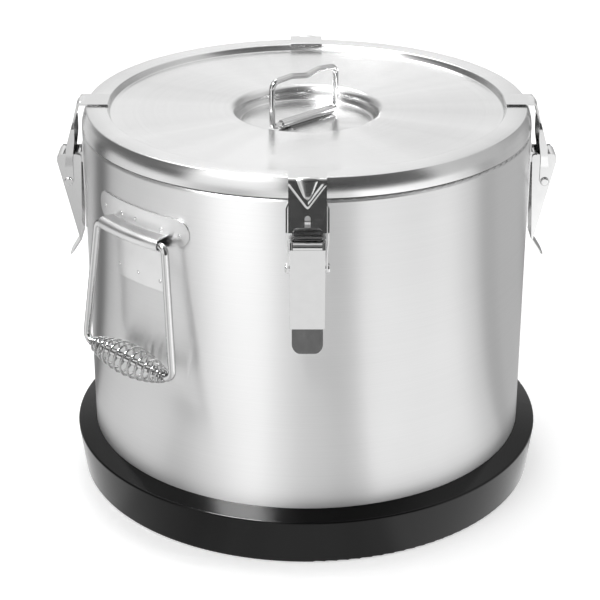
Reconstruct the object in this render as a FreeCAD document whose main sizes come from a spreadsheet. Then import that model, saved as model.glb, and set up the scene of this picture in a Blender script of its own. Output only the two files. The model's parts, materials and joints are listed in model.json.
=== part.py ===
import FreeCAD, Part

import math
import operator
import os

import Sketcher
from FreeCAD import Placement, Rotation, Vector

# Insulated round food container of stainless steel. A double-walled pot takes a plug lid
# that lifts off, and four toggle latches hold it down. Two bails carry the container and a
# small bail in a dish lifts the lid. The origin is the middle of the underside, +Z is up
# and the front latch is at -Y. All sizes are in millimetres.

DRIVING_SIZES = (
    # container
    ("body_radius", 200.0, "outside of the round wall"),
    ("skin", 1.0, "sheet of the jacket, the pot and the lid"),
    ("seam_height", 331.6, "top of the pot flange, where the lid closes"),
    ("shoulder_round", 3.0, "outer edge at the top of the jacket"),
    ("jacket_flange", 12.0, "how far the jacket turns in at the top"),
    ("wall_width", 30.0, "double wall from its outside to the inside of the food pot"),
    ("pot_floor", 36.0, "top of the pot floor above the ground"),
    ("pot_corner", 15.0, "round corner inside the pot"),
    ("pot_lip_round", 1.5, "edge where the pot wall turns into its flange"),
    ("pot_flange_inset", 4.0, "edge of the pot flange inside the wall"),
    ("base_gauge", 1.2, "sheet of the base plate"),
    ("foam_gap", 0.2, "clearance round the insulation"),
    ("foam_headroom", 4.0, "air space over the wall insulation"),
    # rubber base ring
    ("ring_lip", 8.0, "rubber under the edge of the wall"),
    ("ring_reach", 50.0, "how far the rubber lip reaches in"),
    ("ring_foot", 12.0, "width of the ring outside the wall at the ground"),
    ("ring_ridge", 17.2, "width of the ring outside the wall at its ridge"),
    ("ring_ridge_height", 42.3, "height of the ridge"),
    ("ring_height", 47.0, "top of the ring on the wall"),
    ("ring_fit", 0.3, "clearance between ring and wall"),
    ("ring_round", 2.0, "edges of the ring"),
    # lid
    ("seam_gap", 0.2, "gap between the lid band and the wall"),
    ("band_height", 16.2, "upright band round the lid"),
    ("band_round", 4.0, "outer edge of the lid"),
    ("rim_width", 22.8, "flat rim on top of the lid"),
    ("rim_step", 5.5, "step from the rim down to the panel"),
    ("step_lean", 2.2, "how far the step leans in"),
    ("step_round", 1.2, "edges of the step"),
    ("panel_fall", 0.5, "fall of the panel towards the middle"),
    ("lip_round", 7.5, "rolled lip of the cover round the dish"),
    ("lip_depth", 9.0, "how far the lip reaches down"),
    ("dish_mouth", 62.5, "inside of the lip and top of the dish wall"),
    ("dish_floor", 60.5, "radius of the dish floor"),
    ("dish_depth", 4.0, "depth of the dish under the lip"),
    ("dish_corner", 3.0, "round corner of the dish"),
    ("plug_gap", 1.5, "clearance between plug and pot"),
    ("plug_depth", 21.6, "how far the plug reaches into the pot"),
    ("plug_corner", 8.0, "round corner of the plug"),
    ("gasket_gap", 0.3, "gap under the gasket"),
    ("gasket_gauge", 1.7, "thickness of the gasket"),
    ("liner_fit", 0.1, "clearance between liner flange and lid band"),
    # lifting bail of the lid, in a sleeve in the dish
    ("sleeve_radius", 4.0, "outside of the sleeve tube"),
    ("sleeve_length", 63.0, "length of the sleeve tube"),
    ("sleeve_lift", 0.2, "tube above the dish floor"),
    ("sleeve_tab_gauge", 1.0, "flat tab of the sleeve"),
    ("sleeve_tab_width", 12.0, "how far the tab reaches from the axis"),
    ("sleeve_tab_length", 50.0, "length of the tab"),
    ("lid_wire", 2.5, "radius of the lid bail wire"),
    ("lid_wire_fit", 0.1, "radial clearance of the wire in the sleeve"),
    ("lid_wire_end", 24.0, "end of the wire inside the sleeve"),
    ("lid_bail_left", 42.5, "longer side of the bail from the middle"),
    ("lid_bail_right", 36.5, "shorter side of the bail from the middle"),
    ("lid_bail_height", 40.5, "top bar above the sleeve axis"),
    ("lid_bail_drop", 1.5, "how much lower the shorter side is"),
    ("lid_bail_wave", 2.2, "finger dip in the top bar"),
    ("lid_bail_foot_round", 4.0, "bends at the sleeve"),
    ("lid_bail_top_round", 7.0, "bends at the top bar"),
    # toggle latches, measured out from the wall and down from the rim
    ("pivot_out", 4.8, "lever pin from the wall"),
    ("pivot_down", 48.5, "lever pin below the rim"),
    ("rivet_out", 13.8, "hook rivets from the wall"),
    ("rivet_down", 70.5, "hook rivets below the rim"),
    ("pin_radius", 2.0, "lever pin and hook rivets"),
    ("pin_fit", 0.05, "radial clearance on a pin"),
    ("weld_gap", 0.1, "gap between a welded plate and the wall"),
    ("plate_gauge", 1.2, "sheet of the brackets"),
    ("strip_half", 12.6, "half width of the latch bracket"),
    ("strip_top_down", 36.0, "top of the latch bracket below the rim"),
    ("strip_bottom_down", 116.0, "bottom of the latch bracket below the rim"),
    ("ear_gauge", 1.5, "ears of the latch bracket"),
    ("ear_radius", 3.6, "round end of an ear"),
    ("latch_gap", 0.4, "side play between ears and lever"),
    ("lever_gauge", 1.2, "sheet of the lever"),
    ("lever_lobe", 2.9, "lever cheek round its pin"),
    ("brow_out", 24.0, "top of the lever face from the wall"),
    ("brow_down", 51.0, "top of the lever face below the rim"),
    ("roll_radius", 3.9, "rolled edge over the lever face"),
    ("roll_rise", 1.2, "roll centre above the top of the face"),
    ("roll_gap", 1.2, "relief slot beside the roll"),
    ("knee_out", 6.5, "lower bend of the lever from the wall"),
    ("knee_down", 128.0, "lower bend of the lever below the rim"),
    ("knee_rise", 2.0, "where the cheeks start above the bend"),
    ("tip_out", 17.5, "lever tip from the wall"),
    ("tip_down", 145.0, "lever tip below the rim"),
    ("tip_gauge", 1.4, "finger tip sheet, measured level"),
    ("tip_inset", 1.4, "finger tip narrower than the cheeks, each side"),
    ("tip_round", 7.0, "corners of the finger tip"),
    ("hook_gauge", 1.2, "sheet of the hook"),
    ("hook_gap", 0.3, "gap between hook and rim"),
    ("hook_overlap", 9.2, "how far the hook reaches past the rim"),
    ("hook_lip", 2.5, "turned-down end of the hook"),
    ("hook_half", 15.25, "half width of the hook plate"),
    ("hook_side_play", 0.8, "side play between lever and hook cheeks"),
    ("hook_bend_out", 3.5, "upper bend of the hook from the wall"),
    ("hook_bend_round", 2.6, "upper bend of the hook"),
    ("hook_end_out", 20.6, "lower edge of the hook plate from the wall"),
    ("hook_end_down", 37.0, "lower edge of the hook plate below the rim"),
    ("hook_cheek_down", 18.0, "top of the hook cheeks below the rim"),
    ("hook_lobe", 4.4, "hook cheek round its rivet"),
    ("notch_half", 2.35, "half width of the notch in the hook"),
    ("notch_height", 9.0, "height of the notch in the hook"),
    ("head_radius", 4.0, "outer head of a hook rivet"),
    ("head_height", 2.0, "outer head of a hook rivet"),
    ("inner_head_radius", 3.2, "inner head of a hook rivet"),
    ("inner_head_height", 0.8, "inner head of a hook rivet"),
    # carrying bails
    ("hinge_out", 8.0, "bail axis from the wall"),
    ("hinge_height", 280.0, "bail axis above the ground"),
    ("hood_out", 10.4, "middle of the round hood from the wall"),
    ("hood_clearance", 1.1, "between wire and hood"),
    ("hood_half", 36.2, "half length of the hood"),
    ("weld_depth", 0.6, "how deep the hood ends in the plates"),
    ("upper_plate_half", 56.2, "half width of the upper plate"),
    ("upper_plate_low", 2.0, "bottom of the upper plate under the axis"),
    ("upper_plate_top", 22.0, "top of the upper plate above the axis"),
    ("upper_plate_round", 11.0, "corners of the upper plate"),
    ("lower_plate_half", 30.9, "half width of the lower plate"),
    ("lower_plate_drop", 47.0, "bottom of the lower plate under the axis"),
    ("bail_wire", 3.25, "radius of the bail wire"),
    ("bail_end", 26.0, "end of the wire inside the hood"),
    ("bail_top_half", 43.0, "half width of the bail at the hood"),
    ("bail_bottom_half", 57.0, "half width of the bail at the grip"),
    ("bail_drop", 114.0, "grip axis under the hinge axis"),
    ("bail_top_round", 6.5, "bends at the hood"),
    ("bail_bottom_round", 8.0, "bends at the grip"),
    ("grip_half", 47.0, "half length of the grip"),
    ("grip_radius", 15.0, "grip in the middle"),
    ("grip_end_radius", 5.8, "grip at its ends"),
    ("grip_wall", 2.0, "wire of the coiled grip"),
)

BAIL_LEAN = 3.92  # degrees that a hanging bail leans out from the wall
LID_BAIL_TURN = 44.5  # degrees from +X to the sleeve axis, seen from above
LATCH_TURNS = {"front": -90, "right": 0, "back": 90, "left": 180}
HANDLE_TURNS = {"left": 225, "right": 45}

OPERATIONS = {"+": operator.add, "-": operator.sub, "*": operator.mul, "/": operator.truediv}


class Length:
    """A size with its value and the sheet formula that it comes from."""

    def __init__(self, value, formula):
        self.value = value
        self.formula = formula

    def combine(self, sign, other):
        if not isinstance(other, Length):
            other = Length(other, "%g" % other)
        value = OPERATIONS[sign](self.value, other.value)
        return Length(value, "(%s %s %s)" % (self.formula, sign, other.formula))

    def __add__(self, other):
        return self.combine("+", other)

    def __sub__(self, other):
        return self.combine("-", other)

    def __mul__(self, other):
        return self.combine("*", other)

    def __truediv__(self, other):
        return self.combine("/", other)

    def __neg__(self):
        return Length(-self.value, "(-1 * %s)" % self.formula)


document = FreeCAD.newDocument("FoodContainer")
sheet = document.addObject("Spreadsheet::Sheet", "Sizes")
for row, (alias, value, meaning) in enumerate(DRIVING_SIZES, start=1):
    sheet.set("A%d" % row, alias)
    sheet.set("B%d" % row, repr(value))
    sheet.setAlias("B%d" % row, alias)
    sheet.set("C%d" % row, meaning)
document.recompute()


class Sizes:
    """The driving sizes by name, and the ones that follow from them."""


size = Sizes()
for alias, value, meaning in DRIVING_SIZES:
    setattr(size, alias, Length(value, "Sizes." + alias))

ZERO = Length(0.0, "0")

# radii and heights that several pieces share
shoulder_height = size.seam_height - size.skin
wall_inside = size.body_radius - size.skin
pot_inside = size.body_radius - size.wall_width
pot_outside = pot_inside + size.skin
pot_underside = size.pot_floor - size.skin
lid_bottom = size.seam_height + size.seam_gap
rim_height = lid_bottom + size.band_height
rim_inside = size.body_radius - size.rim_width
step_foot = rim_inside - size.step_lean
panel_edge_height = rim_height - size.rim_step
panel_height = panel_edge_height - size.panel_fall
dish_top = panel_height - size.lip_depth
dish_floor_height = dish_top - size.dish_depth
plug_radius = pot_inside - size.plug_gap
plug_bottom = size.seam_height - size.plug_depth
gasket_bottom = size.seam_height + size.gasket_gap
liner_flange = gasket_bottom + size.gasket_gauge
sleeve_axis_height = dish_floor_height + size.sleeve_lift + size.sleeve_radius

pivot_radius = size.body_radius + size.pivot_out
pivot_height = rim_height - size.pivot_down
rivet_radius = size.body_radius + size.rivet_out
rivet_height = rim_height - size.rivet_down
plate_inside = size.body_radius + size.weld_gap
plate_outside = plate_inside + size.plate_gauge
cheek_inside = size.strip_half + size.latch_gap
cheek_outside = cheek_inside + size.lever_gauge
hook_cheek_inside = cheek_outside + size.hook_side_play
hook_cheek_outside = hook_cheek_inside + size.hook_gauge
hinge_radius = size.body_radius + size.hinge_out


def add_sketch(body, name, role, offset=ZERO):
    """Sketch on one of the body's own origin planes, moved along the plane's normal."""
    sketch = body.newObject("Sketcher::SketchObject", name)
    planes = [feature for feature in body.Origin.OriginFeatures if feature.Role == role]
    sketch.AttachmentSupport = [(planes[0], "")]
    sketch.MapMode = "FlatFace"
    if offset is not ZERO:
        sketch.setExpression(".AttachmentOffset.Base.z", offset.formula)
    return sketch


def hold(sketch, kind, target, length):
    """Bind one distance, radius or coordinate of a sketch to the sheet."""
    axis = {"DistanceX": -2, "DistanceY": -1}
    if kind in axis and abs(length.value) < 1e-9:
        sketch.addConstraint(Sketcher.Constraint("PointOnObject", *target, axis[kind]))
        return
    index = sketch.addConstraint(Sketcher.Constraint(kind, *target, length.value))
    sketch.setExpression("Constraints[%d]" % index, length.formula)


def hold_point(sketch, target, across, up):
    hold(sketch, "DistanceX", target, across)
    hold(sketch, "DistanceY", target, up)


def draw_corner(sketch, previous, corner, following):
    """Arc that rounds a corner. Returns its ends and how the lines join it."""
    here = Vector(corner[0].value, corner[1].value, 0)
    radius = corner[2]
    arriving = (here - Vector(previous[0].value, previous[1].value, 0)).normalize()
    leaving = (Vector(following[0].value, following[1].value, 0) - here).normalize()
    turn = math.atan2(arriving.cross(leaving).z, arriving.dot(leaving))
    reach = radius.value * math.tan(abs(turn) / 2)
    start = here - arriving * reach
    end = here + leaving * reach
    side = Vector(-arriving.y, arriving.x, 0) * math.copysign(radius.value, turn)
    centre = start + side
    first, last = (start, end) if turn > 0 else (end, start)
    angles = [math.atan2(point.y - centre.y, point.x - centre.x) for point in (first, last)]
    circle = Part.Circle(centre, Vector(0, 0, 1), radius.value)
    arc = sketch.addGeometry(Part.ArcOfCircle(circle, *angles), False)
    hold(sketch, "Radius", (arc,), radius)
    marker = sketch.addGeometry(Part.Point(here), True)
    hold_point(sketch, (marker, 1), corner[0], corner[1])
    arrive_end, leave_end = (1, 2) if turn > 0 else (2, 1)
    return {"start": start, "end": end, "arc": arc, "marker": marker,
            "arrive": arrive_end, "leave": leave_end}


def draw_outline(sketch, corners, closed=True):
    """Straight runs through the corners; a corner with a third value is rounded by it."""
    count = len(corners)
    rounds = []
    for index, corner in enumerate(corners):
        if len(corner) == 3:
            following = corners[(index + 1) % count]
            rounds.append(draw_corner(sketch, corners[index - 1], corner, following))
        else:
            place = Vector(corner[0].value, corner[1].value, 0)
            rounds.append({"start": place, "end": place})
    lines = []
    for index in range(count if closed else count - 1):
        following = rounds[(index + 1) % count]
        line = Part.LineSegment(rounds[index]["end"], following["start"])
        lines.append(sketch.addGeometry(line, False))
    for index, (corner, rounding) in enumerate(zip(corners, rounds)):
        arriving = lines[index - 1] if closed or index > 0 else None
        leaving = lines[index] if closed or index < count - 1 else None
        if "arc" in rounding:
            arc, marker = rounding["arc"], rounding["marker"]
            sketch.addConstraint([
                Sketcher.Constraint("Tangent", arriving, 2, arc, rounding["arrive"]),
                Sketcher.Constraint("Tangent", arc, rounding["leave"], leaving, 1),
                Sketcher.Constraint("PointOnObject", marker, 1, arriving),
                Sketcher.Constraint("PointOnObject", marker, 1, leaving)])
            continue
        if leaving is None:
            hold_point(sketch, (arriving, 2), corner[0], corner[1])
            continue
        hold_point(sketch, (leaving, 1), corner[0], corner[1])
        if arriving is not None:
            sketch.addConstraint(Sketcher.Constraint("Coincident", arriving, 2, leaving, 1))


def draw_circle(sketch, across, up, radius):
    middle = Vector(across.value, up.value, 0)
    circle = sketch.addGeometry(Part.Circle(middle, Vector(0, 0, 1), radius.value), False)
    hold_point(sketch, (circle, 3), across, up)
    hold(sketch, "Radius", (circle,), radius)


def revolve(body, corners, role="XZ_Plane"):
    """Solid of revolution about the sketch's upright axis."""
    sketch = add_sketch(body, body.Name + "_outline", role)
    draw_outline(sketch, corners)
    return turn_sketch(body, sketch)


def turn_sketch(body, sketch):
    revolution = body.newObject("PartDesign::Revolution", body.Name + "_turn")
    revolution.Profile = sketch
    revolution.ReferenceAxis = (sketch, ["V_Axis"])
    revolution.Angle = 360
    return revolution


def pad(body, sketch, length, symmetric=False):
    feature = body.newObject("PartDesign::Pad", sketch.Name + "_pad")
    feature.Profile = sketch
    feature.setExpression("Length", length.formula)
    feature.SideType = "Symmetric" if symmetric else "One side"
    document.recompute()
    return feature


def cut(body, sketch, length):
    """Pocket to both sides of its sketch, which has to take something away."""
    before = body.Shape.Volume
    feature = body.newObject("PartDesign::Pocket", sketch.Name + "_cut")
    feature.Profile = sketch
    feature.setExpression("Length", length.formula)
    feature.SideType = "Symmetric"
    document.recompute()
    if not body.Shape.Volume < before:
        raise RuntimeError("%s cuts nothing" % feature.Name)
    return feature


def sweep(body, route, role, profile_role, start, radius):
    """Round wire along a route of straight runs and bends."""
    spine = add_sketch(body, body.Name + "_route", role)
    draw_outline(spine, route, closed=False)
    section = add_sketch(body, body.Name + "_section", profile_role, start)
    draw_circle(section, ZERO, ZERO, radius)
    document.recompute()
    pipe = body.newObject("PartDesign::AdditivePipe", body.Name + "_wire")
    pipe.Profile = section
    pipe.Spine = (spine, ["Edge%d" % (n + 1) for n in range(len(spine.Shape.Edges))])
    document.recompute()
    return pipe


def curved_plate(body, name, inside, outside, half, bottom, height):
    """Plate that follows the round wall, with upright straight ends."""
    sketch = add_sketch(body, name, "XY_Plane", bottom)
    ends = []
    for radius in (outside, inside):
        angle = math.asin(half.value / radius.value)
        circle = Part.Circle(Vector(), Vector(0, 0, 1), radius.value)
        arc = sketch.addGeometry(Part.ArcOfCircle(circle, -angle, angle), False)
        sketch.addConstraint(Sketcher.Constraint("Coincident", arc, 3, -1, 1))
        hold(sketch, "Radius", (arc,), radius)
        along = math.sqrt(radius.value ** 2 - half.value ** 2)
        ends.append((arc, along))
    (outer, outer_x), (inner, inner_x) = ends
    for point, side in ((1, -half), (2, half)):
        line = Part.LineSegment(Vector(outer_x, side.value, 0), Vector(inner_x, side.value, 0))
        edge = sketch.addGeometry(line, False)
        sketch.addConstraint([
            Sketcher.Constraint("Horizontal", edge),
            Sketcher.Constraint("Coincident", edge, 1, outer, point),
            Sketcher.Constraint("Coincident", edge, 2, inner, point)])
        hold(sketch, "DistanceY", (outer, point), side)
    return pad(body, sketch, height)


nodes = []


def new_body(name, out=None, up=None, turn=0.0, lean=0.0):
    """Body for one piece, moved out and up, then turned about the container's axis."""
    body = document.addObject("PartDesign::Body", name)
    body.Label = name
    rotation = Rotation(Vector(0, 0, 1), turn) * Rotation(Vector(0, 1, 0), lean)
    body.Placement = Placement(Vector(), rotation)
    if out is not None:
        body.setExpression(".Placement.Base.x", "%s * cos(%g)" % (out.formula, turn))
        body.setExpression(".Placement.Base.y", "%s * sin(%g)" % (out.formula, turn))
    if up is not None:
        body.setExpression(".Placement.Base.z", up.formula)
    nodes.append(body)
    return body


# ---------------------------------------------------------------- container


def make_outer_jacket():
    """Outer wall, turned in at the top to carry the pot."""
    body = new_body("outer_jacket")
    inner_round = size.shoulder_round - size.skin
    flange_edge = size.body_radius - size.jacket_flange
    revolve(body, [
        (size.body_radius, size.ring_lip),
        (size.body_radius, shoulder_height, size.shoulder_round),
        (flange_edge, shoulder_height),
        (flange_edge, shoulder_height - size.skin),
        (wall_inside, shoulder_height - size.skin, inner_round),
        (wall_inside, size.ring_lip)])


def make_inner_pot():
    """Food pot with a flange that lies on the jacket."""
    body = new_body("inner_pot")
    flange_edge = size.body_radius - size.pot_flange_inset
    revolve(body, [
        (ZERO, pot_underside),
        (pot_outside, pot_underside, size.pot_corner + size.skin),
        (pot_outside, shoulder_height),
        (flange_edge, shoulder_height),
        (flange_edge, size.seam_height),
        (pot_inside, size.seam_height, size.pot_lip_round),
        (pot_inside, size.pot_floor, size.pot_corner),
        (ZERO, size.pot_floor)])


def make_base_plate():
    """Disc that closes the double wall at the bottom."""
    body = new_body("base_plate")
    sketch = add_sketch(body, "base_plate_outline", "XY_Plane", size.ring_lip)
    draw_circle(sketch, ZERO, ZERO, wall_inside - size.foam_gap)
    pad(body, sketch, size.base_gauge)


def make_wall_insulation():
    """Foam between the jacket and the pot."""
    body = new_body("wall_insulation")
    bottom = size.ring_lip + size.base_gauge + size.foam_gap
    top = shoulder_height - size.skin - size.foam_headroom
    outside = wall_inside - size.foam_gap
    inside = pot_outside + size.foam_gap
    corner = size.pot_corner + size.skin + size.foam_gap
    revolve(body, [
        (ZERO, bottom),
        (outside, bottom),
        (outside, top),
        (inside, top),
        (inside, pot_underside - size.foam_gap, corner),
        (ZERO, pot_underside - size.foam_gap)])


def make_base_ring():
    """Rubber ring that the wall stands in."""
    body = new_body("base_ring")
    lip_edge = size.body_radius - size.ring_reach
    seat = size.body_radius + size.ring_fit
    revolve(body, [
        (lip_edge, ZERO),
        (size.body_radius + size.ring_foot, ZERO, size.ring_round),
        (size.body_radius + size.ring_ridge, size.ring_ridge_height, size.ring_round),
        (seat, size.ring_height),
        (seat, size.ring_lip),
        (lip_edge, size.ring_lip)])


# ---------------------------------------------------------------- lid


def make_lid_cover():
    """Outer skin of the lid: band, flat rim, step, panel and rolled lip round the dish."""
    body = new_body("lid_cover")
    skin = size.skin
    revolve(body, [
        (size.body_radius, lid_bottom),
        (size.body_radius, rim_height, size.band_round),
        (rim_inside, rim_height, size.step_round),
        (step_foot, panel_edge_height, size.step_round),
        (size.dish_mouth, panel_height, size.lip_round),
        (size.dish_mouth, dish_top),
        (size.dish_mouth + skin, dish_top),
        (size.dish_mouth + skin, panel_height - skin, size.lip_round - skin),
        (step_foot + skin, panel_edge_height - skin),
        (rim_inside + skin, rim_height - skin),
        (wall_inside, rim_height - skin, size.band_round - skin),
        (wall_inside, lid_bottom)])


def make_handle_dish():
    """Shallow dish under the lip of the cover, with room for the folded bail."""
    body = new_body("handle_dish")
    skin = size.skin
    revolve(body, [
        (ZERO, dish_floor_height),
        (size.dish_floor, dish_floor_height, size.dish_corner),
        (size.dish_mouth, dish_top),
        (size.dish_mouth + skin, dish_top),
        (size.dish_floor + skin, dish_floor_height - skin, size.dish_corner + skin),
        (ZERO, dish_floor_height - skin)])


def make_lid_liner():
    """Underside of the lid: a plug that hangs in the pot, with a flange over the gasket."""
    body = new_body("lid_liner")
    skin = size.skin
    flange_edge = wall_inside - size.liner_fit
    revolve(body, [
        (ZERO, plug_bottom),
        (plug_radius, plug_bottom, size.plug_corner),
        (plug_radius, liner_flange),
        (flange_edge, liner_flange),
        (flange_edge, liner_flange + skin),
        (plug_radius - skin, liner_flange + skin),
        (plug_radius - skin, plug_bottom + skin, size.plug_corner - skin),
        (ZERO, plug_bottom + skin)])


def make_lid_gasket():
    """Flat rubber ring under the liner flange, as wide as the pot flange that it closes on."""
    body = new_body("lid_gasket")
    inside = plug_radius + size.foam_gap
    outside = size.body_radius - size.pot_flange_inset
    revolve(body, [
        (inside, gasket_bottom),
        (outside, gasket_bottom),
        (outside, liner_flange),
        (inside, liner_flange)])


def make_lid_insulation():
    """Foam that fills the lid between cover, dish and liner."""
    body = new_body("lid_insulation")
    inset = size.skin + size.foam_gap
    plug_inside = plug_radius - inset
    band_inside = wall_inside - size.foam_gap
    flange_top = liner_flange + inset
    revolve(body, [
        (ZERO, plug_bottom + inset),
        (plug_inside, plug_bottom + inset, size.plug_corner - inset),
        (plug_inside, flange_top),
        (band_inside, flange_top),
        (band_inside, rim_height - inset, size.band_round - inset),
        (rim_inside + inset, rim_height - inset),
        (step_foot + inset, panel_edge_height - inset),
        (size.dish_mouth + inset, panel_height - inset, size.lip_round - inset),
        (size.dish_mouth + inset, dish_floor_height - inset),
        (ZERO, dish_floor_height - inset)])


def make_lid_handle_sleeve():
    """Tube across the dish with a flat tab that is welded to the dish floor."""
    body = new_body("lid_handle_sleeve", ZERO, sleeve_axis_height, LID_BAIL_TURN)
    tube = add_sketch(body, "sleeve_tube", "YZ_Plane")
    draw_circle(tube, ZERO, ZERO, size.sleeve_radius)
    pad(body, tube, size.sleeve_length, symmetric=True)
    floor = -(size.sleeve_radius + size.sleeve_lift)
    tab = add_sketch(body, "sleeve_tab", "YZ_Plane")
    draw_outline(tab, [
        (-size.sleeve_tab_width, floor),
        (ZERO, floor),
        (ZERO, floor + size.sleeve_tab_gauge),
        (-size.sleeve_tab_width, floor + size.sleeve_tab_gauge)])
    pad(body, tab, size.sleeve_tab_length, symmetric=True)
    bore = add_sketch(body, "sleeve_bore", "YZ_Plane")
    draw_circle(bore, ZERO, ZERO, size.lid_wire + size.lid_wire_fit)
    cut(body, bore, size.sleeve_length + size.skin)


def make_lid_handle():
    """Wire bail with a wavy top bar; its ends turn in the sleeve."""
    body = new_body("lid_handle", ZERO, sleeve_axis_height, LID_BAIL_TURN)
    left, right = -size.lid_bail_left, size.lid_bail_right
    top, low_top = size.lid_bail_height, size.lid_bail_height - size.lid_bail_drop
    wave = size.lid_bail_wave
    sweep(body, [
        (-size.lid_wire_end, ZERO),
        (left, ZERO, size.lid_bail_foot_round),
        (left, top, size.lid_bail_top_round),
        (left * 0.45, top + wave * 0.5, size.lid_bail_top_round * 2),
        (ZERO, top - wave, size.lid_bail_top_round * 1.5),
        (right * 0.4, top + wave * 0.3, size.lid_bail_top_round * 1.5),
        (right, low_top, size.lid_bail_top_round),
        (right, ZERO, size.lid_bail_foot_round),
        (size.lid_wire_end, ZERO)], "XZ_Plane", "YZ_Plane", -size.lid_wire_end, size.lid_wire)


# ---------------------------------------------------------------- toggle latches


def make_latch_bracket(side, turn):
    """Strip welded to the wall, with two ears for the lever pin."""
    body = new_body(side + "_latch_bracket", ZERO, ZERO, turn)
    bottom = rim_height - size.strip_bottom_down
    height = size.strip_bottom_down - size.strip_top_down
    strip_name = side + "_strip"
    curved_plate(body, strip_name, plate_inside, plate_outside, size.strip_half, bottom, height)
    root = plate_inside + size.weld_gap
    reach = size.ear_radius
    ear = add_sketch(body, side + "_ears", "XZ_Plane")
    draw_outline(ear, [
        (root, pivot_height + reach + size.ear_gauge),
        (pivot_radius, pivot_height + reach),
        (pivot_radius + reach, pivot_height + reach, reach * 0.9),
        (pivot_radius + reach, pivot_height - reach, reach * 0.9),
        (pivot_radius, pivot_height - reach),
        (root, pivot_height - reach - size.ear_gauge)])
    pad(body, ear, size.strip_half * 2, symmetric=True)
    between = add_sketch(body, side + "_between_ears", "XZ_Plane")
    draw_outline(between, [
        (plate_outside, pivot_height - reach * 2),
        (pivot_radius + reach * 2, pivot_height - reach * 2),
        (pivot_radius + reach * 2, pivot_height + reach * 2),
        (plate_outside, pivot_height + reach * 2)])
    cut(body, between, (size.strip_half - size.ear_gauge) * 2)
    hole = add_sketch(body, side + "_ear_hole", "XZ_Plane")
    draw_circle(hole, pivot_radius, pivot_height, size.pin_radius + size.pin_fit)
    cut(body, hole, size.strip_half * 2 + size.skin)


def make_latch_lever(side, turn):
    """Folded channel on the pin: two cheeks, a face with a rolled top edge and a finger tip."""
    body = new_body(side + "_latch_lever", ZERO, ZERO, turn)
    brow = (size.body_radius + size.brow_out, rim_height - size.brow_down)
    knee = (size.body_radius + size.knee_out, rim_height - size.knee_down)
    tip = (size.body_radius + size.tip_out, rim_height - size.tip_down)
    roll = (brow[0] - size.roll_radius, brow[1] + size.roll_rise)
    back = pivot_radius - size.lever_lobe
    top = pivot_height + size.lever_lobe
    channel = add_sketch(body, side + "_channel", "XZ_Plane")
    draw_outline(channel, [
        (back, top, size.lever_lobe * 0.9),
        (roll[0] + size.lever_gauge, top),
        brow,
        knee,
        (knee[0] - size.tip_gauge, knee[1]),
        (knee[0] - size.tip_gauge, knee[1] + size.knee_rise),
        (back, pivot_height - size.lever_lobe, size.lever_lobe)])
    pad(body, channel, cheek_outside * 2, symmetric=True)
    hollow = add_sketch(body, side + "_hollow", "XZ_Plane")
    beyond = brow[0] + size.roll_radius
    draw_outline(hollow, [
        (size.body_radius, knee[1] + size.knee_rise),
        (knee[0] - size.lever_gauge, knee[1] + size.knee_rise),
        (brow[0] - size.lever_gauge, brow[1]),
        (beyond, brow[1]),
        (beyond, top + size.roll_radius),
        (size.body_radius, top + size.roll_radius)])
    cut(body, hollow, cheek_inside * 2)
    curl = add_sketch(body, side + "_roll", "XZ_Plane")
    draw_circle(curl, roll[0], roll[1], size.roll_radius)
    draw_circle(curl, roll[0], roll[1], size.roll_radius - size.lever_gauge)
    pad(body, curl, (cheek_inside - size.roll_gap) * 2, symmetric=True)
    flap = add_sketch(body, side + "_tip", "XZ_Plane")
    draw_outline(flap, [
        knee,
        tip,
        (tip[0] - size.tip_gauge, tip[1]),
        (knee[0] - size.tip_gauge, knee[1])])
    pad(body, flap, cheek_outside * 2, symmetric=True)
    half = cheek_outside - size.tip_inset
    beside = cheek_outside + size.tip_inset
    below = tip[1] - size.tip_gauge
    shaping = add_sketch(body, side + "_tip_shape", "YZ_Plane", pivot_radius)
    draw_outline(shaping, [
        (-beside, below),
        (beside, below),
        (beside, knee[1]),
        (half, knee[1]),
        (half, tip[1], size.tip_round),
        (-half, tip[1], size.tip_round),
        (-half, knee[1]),
        (-beside, knee[1])])
    cut(body, shaping, size.brow_out * 2)
    for name, radius, height in (("pivot", pivot_radius, pivot_height),
                                 ("rivet", rivet_radius, rivet_height)):
        hole = add_sketch(body, "%s_lever_%s_hole" % (side, name), "XZ_Plane")
        draw_circle(hole, radius, height, size.pin_radius + size.pin_fit)
        cut(body, hole, cheek_outside * 2 + size.skin)


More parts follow.
